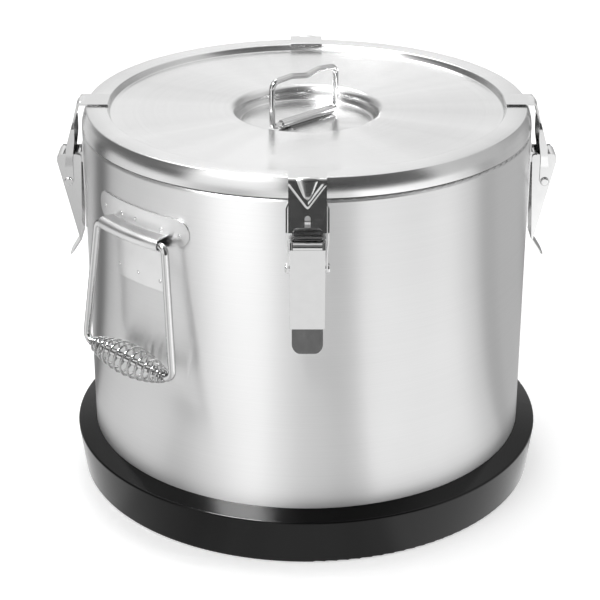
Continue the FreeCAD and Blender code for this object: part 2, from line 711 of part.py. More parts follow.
def make_latch_hook(side, turn):
    """Plate that hooks over the lid rim, with two cheeks that ride on the lever's rivets."""
    body = new_body(side + "_latch_hook", ZERO, ZERO, turn)
    gauge = size.hook_gauge
    end = rim_inside - size.hook_overlap
    under = rim_height + size.hook_gap
    bend = size.body_radius + size.hook_bend_out
    edge = size.body_radius + size.hook_end_out
    edge_height = rim_height - size.hook_end_down
    plate = add_sketch(body, side + "_plate", "XZ_Plane")
    draw_outline(plate, [
        (end, under - size.hook_lip),
        (end + gauge, under - size.hook_lip),
        (end + gauge, under, gauge * 0.3),
        (bend - gauge * 0.6, under, size.hook_bend_round - gauge),
        (edge - gauge * 1.1, edge_height),
        (edge, edge_height),
        (bend, under + gauge, size.hook_bend_round),
        (end, under + gauge, gauge * 1.3)])
    pad(body, plate, size.hook_half * 2, symmetric=True)
    lobe = size.hook_lobe
    cheek_top = rim_height - size.hook_cheek_down
    cheek = add_sketch(body, side + "_cheeks", "XZ_Plane")
    slope = (size.hook_end_out - size.hook_bend_out) / (size.hook_end_down + size.hook_gap + gauge)
    top_out = bend + slope * (size.hook_cheek_down + size.hook_gap + gauge)
    draw_outline(cheek, [
        (rivet_radius - lobe, rivet_height - lobe, lobe * 0.9),
        (rivet_radius + lobe, rivet_height - lobe, lobe * 0.9),
        (edge - gauge * 0.5, edge_height),
        (top_out - gauge * 0.5, cheek_top),
        (top_out - gauge, cheek_top),
        (rivet_radius - lobe, edge_height, lobe)])
    pad(body, cheek, hook_cheek_outside * 2, symmetric=True)
    between = add_sketch(body, side + "_between_cheeks", "XZ_Plane")
    inner_edge = edge - gauge * 1.1
    inner_top = top_out - gauge * 1.1
    draw_outline(between, [
        (rivet_radius - lobe * 2, rivet_height - lobe * 2),
        (rivet_radius + lobe * 2, rivet_height - lobe * 2),
        (rivet_radius + lobe * 2, edge_height),
        (inner_edge, edge_height),
        (inner_top, cheek_top),
        (inner_top - gauge, cheek_top + gauge),
        (rivet_radius - lobe * 2, cheek_top)])
    cut(body, between, hook_cheek_inside * 2)
    notch = add_sketch(body, side + "_notch", "YZ_Plane", edge)
    draw_outline(notch, [
        (-size.notch_half, edge_height - gauge),
        (size.notch_half, edge_height - gauge),
        (size.notch_half, edge_height + size.notch_height, size.notch_half * 0.9),
        (-size.notch_half, edge_height + size.notch_height, size.notch_half * 0.9)])
    cut(body, notch, size.hook_end_out * 2)
    hole = add_sketch(body, side + "_hook_holes", "XZ_Plane")
    draw_circle(hole, rivet_radius, rivet_height, size.pin_radius + size.pin_fit)
    cut(body, hole, hook_cheek_outside * 2 + size.skin)


def make_latch_pin(side, turn):
    """Pin through the bracket ears and the lever cheeks, with a low head on each end."""
    body = new_body(side + "_latch_pin", pivot_radius, pivot_height, turn)
    neck = cheek_outside + size.pin_fit
    end = hook_cheek_inside - size.pin_fit * 4
    head = size.pin_radius + size.ear_gauge / 2
    revolve(body, [
        (ZERO, -end),
        (head, -end),
        (head, -neck),
        (size.pin_radius, -neck),
        (size.pin_radius, neck),
        (head, neck),
        (head, end),
        (ZERO, end)], "XY_Plane")


def make_hook_rivets(side, turn):
    """Two short rivets that carry the hook on the lever, one on each side."""
    body = new_body(side + "_latch_rivets", rivet_radius, rivet_height, turn)
    body.AllowCompound = True
    head_foot = hook_cheek_outside + size.pin_fit
    head_top = head_foot + size.head_height
    inner_top = cheek_inside - size.pin_fit
    inner_foot = inner_top - size.inner_head_height
    sketch = add_sketch(body, side + "_rivet_outlines", "XY_Plane")
    outline = [
        (ZERO, inner_foot),
        (size.inner_head_radius, inner_foot),
        (size.inner_head_radius, inner_top),
        (size.pin_radius, inner_top),
        (size.pin_radius, head_foot),
        (size.head_radius, head_foot),
        (size.head_radius, head_top, size.head_height * 0.8),
        (ZERO, head_top)]
    draw_outline(sketch, outline)
    mirrored = [(corner[0], -corner[1]) + tuple(corner[2:]) for corner in reversed(outline)]
    draw_outline(sketch, mirrored)
    turn_sketch(body, sketch)


# ---------------------------------------------------------------- carrying bails


def make_handle_bracket(side, turn):
    """Plates welded to the wall with a hood between them that holds the bail wire."""
    body = new_body(side + "_handle_bracket", ZERO, ZERO, turn)
    inner = size.bail_wire + size.hood_clearance
    outer = inner + size.plate_gauge
    axis = size.hinge_height
    root = plate_inside + size.weld_depth
    middle = size.body_radius + size.hood_out
    shell = add_sketch(body, side + "_hood", "XZ_Plane")
    draw_outline(shell, [
        (root, axis - outer),
        (middle + outer, axis - outer, outer * 0.98),
        (middle + outer, axis + outer, outer * 0.98),
        (root, axis + outer),
        (root, axis + inner),
        (middle + inner, axis + inner, inner * 0.98),
        (middle + inner, axis - inner, inner * 0.98),
        (root, axis - inner)])
    hood = turn_sketch(body, shell)
    hood.Midplane = True
    hood.setExpression("Angle", "2 * asin(%s)" % (size.hood_half / middle).formula)
    low = axis - size.upper_plate_low
    high = axis + size.upper_plate_top
    half = size.upper_plate_half
    upper_name = side + "_upper_plate"
    curved_plate(body, upper_name, plate_inside, plate_outside, half, low, high - low)
    corner = size.upper_plate_round
    beyond = half + size.hinge_out
    inward = half - corner * 1.2
    ends = add_sketch(body, side + "_plate_ends", "YZ_Plane", plate_inside)
    for across in (1, -1):
        draw_outline(ends, [
            (beyond * across, low - corner),
            (beyond * across, high + corner),
            (inward * across, high + corner),
            (inward * across, high),
            (half * across, high, corner),
            (half * across, low, corner),
            (inward * across, low),
            (inward * across, low - corner)])
    cut(body, ends, size.hinge_out * 4)
    bottom = axis - size.lower_plate_drop
    height = size.lower_plate_drop - inner
    lower_name = side + "_lower_plate"
    curved_plate(body, lower_name, plate_inside, plate_outside, size.lower_plate_half,
                 bottom, height)


def make_handle_bail(side, turn):
    """Wire bail that hangs on the wall; its open ends lie in the hood."""
    body = new_body(side + "_handle_bail", hinge_radius, size.hinge_height, turn, -BAIL_LEAN)
    top, bottom = size.bail_top_half, size.bail_bottom_half
    sweep(body, [
        (size.bail_end, ZERO),
        (top, ZERO, size.bail_top_round),
        (bottom, -size.bail_drop, size.bail_bottom_round),
        (-bottom, -size.bail_drop, size.bail_bottom_round),
        (-top, ZERO, size.bail_top_round),
        (-size.bail_end, ZERO)], "YZ_Plane", "XZ_Plane", -size.bail_end, size.bail_wire)


def make_handle_grip(side, turn):
    """Barrel-shaped envelope of the coiled wire grip on the bar of the bail."""
    lean = math.radians(BAIL_LEAN)
    out = hinge_radius + size.bail_drop * math.sin(lean)
    up = size.hinge_height - size.bail_drop * math.cos(lean)
    body = new_body(side + "_handle_grip", out, up, turn, -BAIL_LEAN)
    sketch = add_sketch(body, side + "_grip_outline", "XY_Plane")
    rise = size.grip_radius - size.grip_end_radius
    arcs = []
    for inset in (ZERO, size.grip_wall):
        radius = (size.grip_half * size.grip_half + rise * rise) / (rise * 2)
        middle = size.grip_radius - inset
        centre = Vector(middle.value - radius.value, 0, 0)
        spread = math.asin(size.grip_half.value / radius.value)
        circle = Part.Circle(centre, Vector(0, 0, 1), radius.value)
        arc = sketch.addGeometry(Part.ArcOfCircle(circle, -spread, spread), False)
        end_radius = size.grip_end_radius - inset
        hold_point(sketch, (arc, 1), end_radius, -size.grip_half)
        hold_point(sketch, (arc, 2), end_radius, size.grip_half)
        hold(sketch, "Radius", (arc,), radius)
        arcs.append((arc, end_radius))
    (outer, outer_end), (inner, inner_end) = arcs
    for point, along in ((1, -size.grip_half), (2, size.grip_half)):
        line = Part.LineSegment(Vector(outer_end.value, along.value, 0),
                                Vector(inner_end.value, along.value, 0))
        edge = sketch.addGeometry(line, False)
        sketch.addConstraint([
            Sketcher.Constraint("Coincident", edge, 1, outer, point),
            Sketcher.Constraint("Coincident", edge, 2, inner, point)])
    turn_sketch(body, sketch)


make_base_ring()
make_outer_jacket()
make_base_plate()
make_inner_pot()
make_wall_insulation()
make_lid_cover()
make_handle_dish()
make_lid_liner()
make_lid_gasket()
make_lid_insulation()
make_lid_handle_sleeve()
make_lid_handle()
for side, turn in LATCH_TURNS.items():
    make_latch_bracket(side, turn)
    make_latch_pin(side, turn)
    make_latch_lever(side, turn)
    make_hook_rivets(side, turn)
    make_latch_hook(side, turn)
for side, turn in HANDLE_TURNS.items():
    make_handle_bracket(side, turn)
    make_handle_bail(side, turn)
    make_handle_grip(side, turn)
document.recompute()

for item in document.Objects:
    if "Invalid" in item.State or "Error" in item.State:
        raise RuntimeError("%s is %s" % (item.Name, item.State))
for body in nodes:
    if body.Shape.isNull() or not body.Shape.isValid():
        raise RuntimeError("%s has no valid shape" % body.Label)

os.makedirs("parts", exist_ok=True)
for body in nodes:
    body.Shape.exportStep(os.path.join("parts", body.Label + ".step"))
    print(body.Label, len(body.Shape.Solids), round(body.Shape.Volume / 1000, 2), "cm3")
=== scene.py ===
import json
import math

import bpy
from mathutils import Matrix, Vector

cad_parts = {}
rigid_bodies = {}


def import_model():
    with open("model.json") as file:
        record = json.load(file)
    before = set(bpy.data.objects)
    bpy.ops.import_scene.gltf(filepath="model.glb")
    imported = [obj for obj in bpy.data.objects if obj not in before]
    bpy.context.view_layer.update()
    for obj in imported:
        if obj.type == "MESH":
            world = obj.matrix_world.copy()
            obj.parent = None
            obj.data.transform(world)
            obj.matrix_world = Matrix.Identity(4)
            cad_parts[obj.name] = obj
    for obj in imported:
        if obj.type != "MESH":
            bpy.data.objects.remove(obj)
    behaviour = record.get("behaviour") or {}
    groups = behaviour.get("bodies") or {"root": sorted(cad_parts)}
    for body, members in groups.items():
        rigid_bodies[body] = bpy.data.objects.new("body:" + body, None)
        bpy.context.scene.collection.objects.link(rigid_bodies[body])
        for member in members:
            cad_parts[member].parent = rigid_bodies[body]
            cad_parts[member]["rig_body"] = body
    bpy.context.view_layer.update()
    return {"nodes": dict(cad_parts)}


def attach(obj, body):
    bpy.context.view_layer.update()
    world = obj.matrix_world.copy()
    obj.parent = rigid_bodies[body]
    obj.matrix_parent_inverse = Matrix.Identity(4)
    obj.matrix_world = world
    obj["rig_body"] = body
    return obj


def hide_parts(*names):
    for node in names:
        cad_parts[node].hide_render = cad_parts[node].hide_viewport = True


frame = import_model()

# ---------------------------------------------------------------- table, light and camera
# The container stands on a wide white table in a studio. Soft boxes light it from the left and
# the right, a key lamp and a lamp behind it draw highlights on the wall and the lid, and pale
# and dark parts of the room mirror in the steel, with a painted reflection that the table shows
# only to glossy rays.

scene = bpy.context.scene
scene.view_settings.view_transform = "Standard"

TABLE_RADIUS, TABLE_TOP = 30, -0.0002
bpy.ops.mesh.primitive_circle_add(vertices=96, radius=TABLE_RADIUS, fill_type="NGON",
                                  location=(0, 0, TABLE_TOP))
table = bpy.context.object
table.name = "table"
bpy.ops.object.transform_apply(location=True, rotation=True, scale=True)


def start_material(name, inputs):
    """New material, with its nodes, its links and its surface shader."""
    material = bpy.data.materials.new(name)
    material.use_nodes = True
    nodes, links = material.node_tree.nodes, material.node_tree.links
    surface = nodes["Principled BSDF"]
    for socket, value in inputs.items():
        surface.inputs[socket].default_value = value
    return material, nodes, links, surface


def add_node(nodes, kind, inputs=None, **options):
    """New shader node with its options, and then some of its inputs, set."""
    node = nodes.new("ShaderNode" + kind)
    for option, value in options.items():
        setattr(node, option, value)
    for socket, value in (inputs or {}).items():
        node.inputs[socket].default_value = value
    return node


table_top, nodes, links, surface = start_material(
    "white table", {"Base Color": (0.9, 0.9, 0.9, 1), "Roughness": 0.9, "Specular IOR Level": 0.1})

# for the camera a faint glow turns the lit table white, apart from the container's shadow
TABLE_GLOW = 0.46
path = add_node(nodes, "LightPath")
seen = add_node(nodes, "Math", operation="MAXIMUM")
links.new(path.outputs["Is Camera Ray"], seen.inputs[0])
links.new(path.outputs["Is Transmission Ray"], seen.inputs[1])
lift = add_node(nodes, "Math", {1: TABLE_GLOW}, operation="MULTIPLY")
links.new(seen.outputs[0], lift.inputs[0])
glow = add_node(nodes, "Emission", {"Color": (1, 1, 1, 1)})
links.new(lift.outputs[0], glow.inputs["Strength"])
both = add_node(nodes, "AddShader")
links.new(surface.outputs[0], both.inputs[0])
links.new(glow.outputs[0], both.inputs[1])

# painted reflection: for glossy rays the table glows in bright and dark by bearing, standing in
# for things round it in the steel: a bearing in degrees from the front, minus to the left, and the
# glow there
TABLE_REFLECTION_GLOW = ((-180, 0.7), (-140, 0.75), (-128, 0.6), (-122, 0.12), (-114, 0.12),
                    (-108, 0.75), (-90, 0.9), (-70, 1.0), (-60, 0.95), (-50, 0.68), (-30, 0.58),
                    (-24, 0.68), (-18, 0.85), (-14, 0.85), (-6, 0.95), (6, 0.95), (13, 0.88),
                    (19, 0.95), (26, 1.4), (66, 1.2), (84, 0.9), (90, 0.5), (97, 0.5), (104, 0.6),
                    (125, 0.6), (150, 0.3), (180, 0.7))


def turn_about(nodes, links, parts):
    """Share of a full turn round the container, from behind it, past its left side."""
    away = add_node(nodes, "Math", {1: -1}, operation="MULTIPLY")
    links.new(parts.outputs["Y"], away.inputs[0])
    bearing = add_node(nodes, "Math", operation="ARCTAN2")
    links.new(parts.outputs["X"], bearing.inputs[0])
    links.new(away.outputs[0], bearing.inputs[1])
    share = add_node(nodes, "MapRange", {"From Min": -math.pi, "From Max": math.pi})
    links.new(bearing.outputs[0], share.inputs["Value"])
    return share.outputs[0]


def brightness_round(nodes, links, share, stops):
    """Brightness that eases from one bearing's value to the next one's."""
    ramp = nodes.new("ShaderNodeValToRGB")
    ramp.color_ramp.interpolation = "EASE"
    for index, (bearing, value) in enumerate(stops):
        position = bearing / 360 + 0.5
        if index < 2:
            stop = ramp.color_ramp.elements[index]
        else:
            stop = ramp.color_ramp.elements.new(position)
        stop.position = position
        stop.color = (value, value, value, 1)
    links.new(share, ramp.inputs["Fac"])
    return ramp.outputs["Color"]


place = add_node(nodes, "TexCoord")
parts = add_node(nodes, "SeparateXYZ")
links.new(place.outputs["Object"], parts.inputs[0])
share = turn_about(nodes, links, parts)
# painted reflection: the table's glow by bearing, which only glossy rays see
painted_reflection = add_node(nodes, "Emission")
links.new(brightness_round(nodes, links, share, TABLE_REFLECTION_GLOW), painted_reflection.inputs["Color"])
choose = add_node(nodes, "MixShader")
links.new(path.outputs["Is Glossy Ray"], choose.inputs["Fac"])
links.new(both.outputs[0], choose.inputs[1])
links.new(painted_reflection.outputs[0], choose.inputs[2])
links.new(choose.outputs[0], nodes["Material Output"].inputs["Surface"])
table.data.materials.append(table_top)

# the room's walls, and above them its upper part and ceiling
LOW_BRIGHTNESS = ((-180, 1.0), (-150, 0.5), (-115, 0.15), (-66, 0.1), (-56, 1.0), (-16, 1.0),
                  (-7, 0.1), (0, 0.055), (14, 0.06), (30, 0.09), (58, 0.13), (70, 0.7), (105, 0.6),
                  (145, 0.4), (180, 1.0))
HIGH_BRIGHTNESS = ((-180, 1.0), (-120, 0.95), (-80, 0.9), (-60, 0.85), (-54, 0.8), (-20, 0.7),
                   (-9, 0.25), (0, 0.2), (35, 0.15), (60, 0.25), (72, 0.6), (110, 0.9), (180, 1.0))
WALL_TOP, CEILING_EDGE = 0.45, 0.8

room = bpy.data.worlds.new("studio room")
scene.world = room
room.use_nodes = True
nodes, links = room.node_tree.nodes, room.node_tree.links
nodes.clear()
place = add_node(nodes, "TexCoord")
parts = add_node(nodes, "SeparateXYZ")
links.new(place.outputs["Generated"], parts.inputs[0])
share = turn_about(nodes, links, parts)
climb = add_node(nodes, "MapRange", {"From Min": WALL_TOP, "From Max": CEILING_EDGE},
                 interpolation_type="SMOOTHSTEP")
links.new(parts.outputs["Z"], climb.inputs["Value"])
blend = add_node(nodes, "Mix", data_type="RGBA")
links.new(climb.outputs[0], blend.inputs["Factor"])
links.new(brightness_round(nodes, links, share, LOW_BRIGHTNESS), blend.inputs["A"])
links.new(brightness_round(nodes, links, share, HIGH_BRIGHTNESS), blend.inputs["B"])
backdrop = add_node(nodes, "Background")
links.new(blend.outputs["Result"], backdrop.inputs["Color"])
ending = add_node(nodes, "OutputWorld")
links.new(backdrop.outputs[0], ending.inputs["Surface"])

LAMP_AIM = Vector((0, 0, 0.2))


def soft_box(name, bearing, height, distance, width, tall, watts):
    """Rectangular soft lamp that faces the middle of the container."""
    lamp = bpy.data.lights.new(name, "AREA")
    lamp.shape = "RECTANGLE"
    lamp.size = width
    lamp.size_y = tall
    lamp.energy = watts
    turn = math.radians(bearing)
    box = bpy.data.objects.new(name, lamp)
    box.location = (distance * math.sin(turn), -distance * math.cos(turn), height)
    look = LAMP_AIM - box.location
    box.rotation_euler = look.to_track_quat("-Z", "Y").to_euler()
    scene.collection.objects.link(box)
    return box


left_box = soft_box("left soft box", bearing=-36, height=0.95, distance=2.2, width=1.5, tall=1.2,
                    watts=9)
left_box.visible_glossy = False
key_lamp = soft_box("key lamp", bearing=-47, height=2.2, distance=1.3, width=0.9, tall=0.5,
                    watts=100)
key_lamp.visible_diffuse = False
right_box = soft_box("right soft box", bearing=88, height=1.0, distance=2.2, width=1.0, tall=1.4,
                     watts=8)
right_box.visible_glossy = False
soft_box("top soft box", bearing=-162, height=2.1, distance=1.3, width=0.8, tall=0.8, watts=9)

LOOK_DOWN = 0.4241
lens = bpy.data.cameras.new("camera")
lens.sensor_width = 36
lens.lens = 108.17
camera = bpy.data.objects.new("camera", lens)
camera.location = (-0.0060, -1.5376, 0.8473)
camera.rotation_euler = (math.pi / 2 - LOOK_DOWN, 0, 0)
scene.collection.objects.link(camera)
scene.camera = camera

# ---------------------------------------------------------------- wall
# The outer jacket is stainless sheet, rolled round and brushed along its length, so its fine
# lines run level round the container. Its shoulder turns in under the lid. The inner pot and
# the base plate are of the same sheet with a plainer finish.


def make_grain():
    """Fine streaks and slow clouds that every steel finish shows in its own strength."""
    cloud_share = 0.35
    group = bpy.data.node_groups.new("steel grain", "ShaderNodeTree")
    for name, kind in (("Vector", "Vector"), ("Place", "Vector"), ("Steel", "Color"),
                       ("Contrast", "Float"), ("Smooth", "Float"), ("Rough", "Float")):
        group.interface.new_socket(name=name, in_out="INPUT", socket_type="NodeSocket" + kind)
    for name, kind in (("Color", "Color"), ("Roughness", "Float"), ("Height", "Float")):
        group.interface.new_socket(name=name, in_out="OUTPUT", socket_type="NodeSocket" + kind)
    nodes, links = group.nodes, group.links
    given = nodes.new("NodeGroupInput")
    result = nodes.new("NodeGroupOutput")
    streak = add_node(nodes, "TexNoise", {"Scale": 1, "Detail": 5, "Roughness": 0.65})
    links.new(given.outputs["Vector"], streak.inputs["Vector"])
    cloud = add_node(nodes, "TexNoise", {"Scale": 9, "Detail": 3})
    links.new(given.outputs["Place"], cloud.inputs["Vector"])
    streaks = add_node(nodes, "Math", {1: 1 - cloud_share}, operation="MULTIPLY")
    links.new(streak.outputs["Fac"], streaks.inputs[0])
    mixed = add_node(nodes, "Math", {1: cloud_share}, operation="MULTIPLY_ADD")
    links.new(cloud.outputs["Fac"], mixed.inputs[0])
    links.new(streaks.outputs[0], mixed.inputs[2])
    spread = add_node(nodes, "MapRange", {"From Min": 0.3, "From Max": 0.7})
    links.new(mixed.outputs[0], spread.inputs["Value"])
    links.new(given.outputs["Smooth"], spread.inputs["To Min"])
    links.new(given.outputs["Rough"], spread.inputs["To Max"])
    dim = add_node(nodes, "Math", operation="MULTIPLY")
    links.new(given.outputs["Contrast"], dim.inputs[0])
    links.new(mixed.outputs[0], dim.inputs[1])
    tint = add_node(nodes, "Mix", {"B": (0.25, 0.25, 0.25, 1)}, data_type="RGBA")
    links.new(dim.outputs[0], tint.inputs["Factor"])
    links.new(given.outputs["Steel"], tint.inputs["A"])
    links.new(tint.outputs["Result"], result.inputs["Color"])
    links.new(spread.outputs[0], result.inputs["Roughness"])
    links.new(mixed.outputs[0], result.inputs["Height"])
    return group


grain = make_grain()


def spin_grain(nodes, links, place, grey):
    """Coordinates that follow rings round the axis, and a grey darkened in faint rays away from
    it, a painted radial sheen.
    """
    apart = add_node(nodes, "SeparateXYZ")
    links.new(place.outputs["Object"], apart.inputs[0])
    flat = add_node(nodes, "CombineXYZ")
    rings = add_node(nodes, "CombineXYZ")
    for axis in ("X", "Y"):
        links.new(apart.outputs[axis], flat.inputs[axis])
        links.new(apart.outputs[axis], rings.inputs[axis])
    radius = add_node(nodes, "VectorMath", operation="LENGTH")
    links.new(flat.outputs[0], radius.inputs[0])
    links.new(radius.outputs["Value"], rings.inputs["Z"])
    outward = add_node(nodes, "VectorMath", operation="NORMALIZE")
    links.new(flat.outputs[0], outward.inputs[0])
    # painted sheen: noise on the bearing round the axis darkens the grey in faint rays
    sheen_fan = add_node(nodes, "TexNoise", {"Scale": 1.7, "Detail": 4, "Roughness": 0.55})
    links.new(outward.outputs["Vector"], sheen_fan.inputs["Vector"])
    shade = add_node(nodes, "MapRange", {"From Min": 0.35, "From Max": 0.65, "To Max": 0.22})
    links.new(sheen_fan.outputs["Fac"], shade.inputs["Value"])
    painted_sheen = add_node(nodes, "Mix", {"A": (grey, grey, grey, 1), "B": (0.35, 0.35, 0.35, 1)},
                    data_type="RGBA")
    links.new(shade.outputs[0], painted_sheen.inputs["Factor"])
    return rings.outputs[0], painted_sheen.outputs["Result"]


def add_bump(nodes, links, height, strength, distance):
    """Bump node that reads its height from another node's output."""
    relief = add_node(nodes, "Bump", {"Strength": strength, "Distance": distance})
    links.new(height, relief.inputs["Height"])
    return relief


def make_steel(name, grey, smooth, rough, stretch, bump, contrast=0.2, anisotropy=0.0,
               spun=False, ripple=0.0):
    """Steel with fine lines across the directions in which stretch is large."""
    material, nodes, links, surface = start_material(
        name, {"Metallic": 1, "Anisotropic": anisotropy, "Anisotropic Rotation": 0.25})
    place = add_node(nodes, "TexCoord")
    lines = add_node(nodes, "Mapping", {"Scale": stretch})
    look = add_node(nodes, "Group", {"Steel": (grey, grey, grey, 1), "Contrast": contrast,
                                     "Smooth": smooth, "Rough": rough}, node_tree=grain)
    # spun steel: fine lines in rings, and a grey with a painted radial sheen
    if spun:
        rings, painted_sheen = spin_grain(nodes, links, place, grey)
        links.new(rings, lines.inputs["Vector"])
        links.new(painted_sheen, look.inputs["Steel"])
    else:
        links.new(place.outputs["Object"], lines.inputs["Vector"])
    links.new(lines.outputs[0], look.inputs["Vector"])
    links.new(place.outputs["Object"], look.inputs["Place"])
    links.new(look.outputs["Color"], surface.inputs["Base Color"])
    links.new(look.outputs["Roughness"], surface.inputs["Roughness"])
    relief = add_bump(nodes, links, look.outputs["Height"], strength=bump, distance=0.0002)
    links.new(relief.outputs["Normal"], surface.inputs["Normal"])
    if ripple:
        dents = add_node(nodes, "TexNoise", {"Scale": 9, "Detail": 2})
        links.new(place.outputs["Object"], dents.inputs["Vector"])
        swell = add_bump(nodes, links, dents.outputs["Fac"], strength=ripple, distance=0.004)
        links.new(swell.outputs["Normal"], relief.inputs["Normal"])
    if anisotropy:
        round_axis = add_node(nodes, "Tangent", direction_type="RADIAL", axis="Z")
        links.new(round_axis.outputs[0], surface.inputs["Tangent"])
    return material


def finish_node(name, material):
    """Give a solid that keeps its shape its own finish."""
    piece = frame["nodes"][name]
    piece.data.materials.clear()
    piece.data.materials.append(material)


finish_node("outer_jacket", make_steel("brushed wall steel", 0.8, smooth=0.34, rough=0.37,
                                       stretch=(6, 6, 1500), bump=0.04, anisotropy=0.9))

inner_steel = make_steel("inner pot steel", 0.74, smooth=0.28, rough=0.4, stretch=(5, 5, 900),
                         bump=0.1)
finish_node("inner_pot", inner_steel)
finish_node("base_plate", inner_steel)

# ---------------------------------------------------------------- insulation
# Rigid foam fills the double wall and the lid. It is poured in, so it is pale yellow and
# full of fine pores, each painted darker where it dips, as shade in the hollow.

foam, nodes, links, surface = start_material("poured foam", {"Roughness": 0.95})
place = add_node(nodes, "TexCoord")
pores = add_node(nodes, "TexVoronoi", {"Scale": 900})
links.new(place.outputs["Object"], pores.inputs["Vector"])
# painted shade: each pore's yellow darkens towards its middle, where the bump dips
yellow_with_pore_shade = add_node(nodes, "Mix", {"A": (0.55, 0.42, 0.2, 1), "B": (0.85, 0.74, 0.48, 1)},
                  data_type="RGBA")
links.new(pores.outputs["Distance"], yellow_with_pore_shade.inputs["Factor"])
links.new(yellow_with_pore_shade.outputs["Result"], surface.inputs["Base Color"])
relief = add_bump(nodes, links, pores.outputs["Distance"], strength=0.4, distance=0.0005)
links.new(relief.outputs["Normal"], surface.inputs["Normal"])
finish_node("wall_insulation", foam)

# ---------------------------------------------------------------- rubber
# A thick moulded ring of black rubber protects the foot of the wall, and a flat ring of the
# same rubber seals the lid.


def make_rubber(name, black, smooth, rough):
    """Rubber with a fine skin, cloudy in its colour and its gloss."""
    material, nodes, links, surface = start_material(name, {"Specular IOR Level": 0.25})
    place = add_node(nodes, "TexCoord")
    cloud = add_node(nodes, "TexNoise", {"Scale": 14, "Detail": 5})
    links.new(place.outputs["Object"], cloud.inputs["Vector"])
    dark, light = black * 0.8, black * 1.3
    shade = add_node(nodes, "Mix", {"A": (dark, dark, dark, 1), "B": (light, light, light, 1)},
                     data_type="RGBA")
    links.new(cloud.outputs["Fac"], shade.inputs["Factor"])
    links.new(shade.outputs["Result"], surface.inputs["Base Color"])
    gloss = add_node(nodes, "MapRange", {"To Min": smooth, "To Max": rough})
    links.new(cloud.outputs["Fac"], gloss.inputs["Value"])
    links.new(gloss.outputs[0], surface.inputs["Roughness"])
    skin = add_node(nodes, "TexNoise", {"Scale": 700, "Detail": 4})
    links.new(place.outputs["Object"], skin.inputs["Vector"])
    relief = add_bump(nodes, links, skin.outputs["Fac"], strength=0.25, distance=0.0002)
    links.new(relief.outputs["Normal"], surface.inputs["Normal"])
    return material


finish_node("base_ring", make_rubber("black ring rubber", 0.003, smooth=0.07, rough=0.14))
finish_node("lid_gasket", make_rubber("seal rubber", 0.02, smooth=0.5, rough=0.65))

# ---------------------------------------------------------------- lid
# The cover is spun from one sheet, with a rolled band, a flat rim and a panel that dips to
# the dish. The liner under it is drawn from the same sheet, and foam fills the space between.

# outline of the cover's upper face from the dish to the foot of the band, in millimetres
DISH_MOUTH, LIP_ROUND, LIP_FOOT, PANEL_TOP = 62.5, 7.5, 333.0, 342.0
WALL_RADIUS, SEAM, BAND_ROUND, BAND_LEAN = 200, 331.6, 30, 32
ARC_STEPS, ROUND_STEPS, COVER_SHEET = 8, 288, 0.001
cover_line = [(DISH_MOUTH, LIP_FOOT)]
for step in range(ARC_STEPS + 1):
    angle = math.pi - math.pi / 2 * step / ARC_STEPS
    cover_line.append((DISH_MOUTH + LIP_ROUND + LIP_ROUND * math.cos(angle),
                       PANEL_TOP - LIP_ROUND + LIP_ROUND * math.sin(angle)))
cover_line += [(100, 342.15), (140, 342.35), (173.4, 342.5), (174.6, 342.7), (175.2, 343.2),
               (176.6, 346.7), (177.0, 347.4), (177.6, 347.85), (178.4, 348.0), (194.6, 348.0),
               (195.3, 347.85), (195.8, 347.5)]
for step in range(ARC_STEPS + 1):
    lean = math.radians(BAND_LEAN * (1 - step / ARC_STEPS))
    cover_line.append((WALL_RADIUS - BAND_ROUND + BAND_ROUND * math.cos(lean),
                       SEAM + BAND_ROUND * math.sin(lean)))

bpy.ops.mesh.primitive_plane_add(size=0.001, location=(cover_line[0][0] / 1000, 0,
                                                       cover_line[0][1] / 1000))
cover = bpy.context.object
cover.name = "spun_cover"
bpy.ops.object.transform_apply(location=True, rotation=True, scale=True)
bpy.ops.object.mode_set(mode="EDIT")
bpy.ops.mesh.select_all(action="SELECT")
bpy.ops.mesh.merge(type="CENTER")
for start, end in zip(cover_line, cover_line[1:]):
    bpy.ops.mesh.extrude_region_move(TRANSFORM_OT_translate={
        "value": ((end[0] - start[0]) / 1000, 0, (end[1] - start[1]) / 1000)})
bpy.ops.mesh.select_all(action="SELECT")
bpy.ops.mesh.spin(steps=ROUND_STEPS, angle=2 * math.pi, center=(0, 0, 0), axis=(0, 0, 1))
bpy.ops.mesh.select_all(action="SELECT")
bpy.ops.mesh.remove_doubles(threshold=0.00001)
bpy.ops.mesh.normals_make_consistent(inside=False)
bpy.ops.object.mode_set(mode="OBJECT")
if max(cover.data.polygons, key=lambda face: face.center.z).normal.z < 0:
    cover.data.flip_normals()


def show_only(piece):
    """Select a piece and make it the active one."""
    bpy.ops.object.select_all(action="DESELECT")
    piece.select_set(True)
    bpy.context.view_layer.objects.active = piece


def apply_modifier(piece, kind, **settings):
    """Add a modifier to a piece and apply it at once."""
    modifier = piece.modifiers.new(kind.title(), kind)
    for name, value in settings.items():
        setattr(modifier, name, value)
    show_only(piece)
    bpy.ops.object.modifier_apply(modifier=modifier.name)


apply_modifier(cover, "SOLIDIFY", thickness=COVER_SHEET, offset=-1)
bpy.ops.object.shade_smooth_by_angle(angle=math.radians(35))
spun_lid = make_steel("spun lid steel", 0.86, smooth=0.18, rough=0.27, stretch=(4, 4, 900),
                      bump=0.15, anisotropy=0.5, spun=True)
cover.data.materials.append(spun_lid)
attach(cover, "lid")
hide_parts("lid_cover")

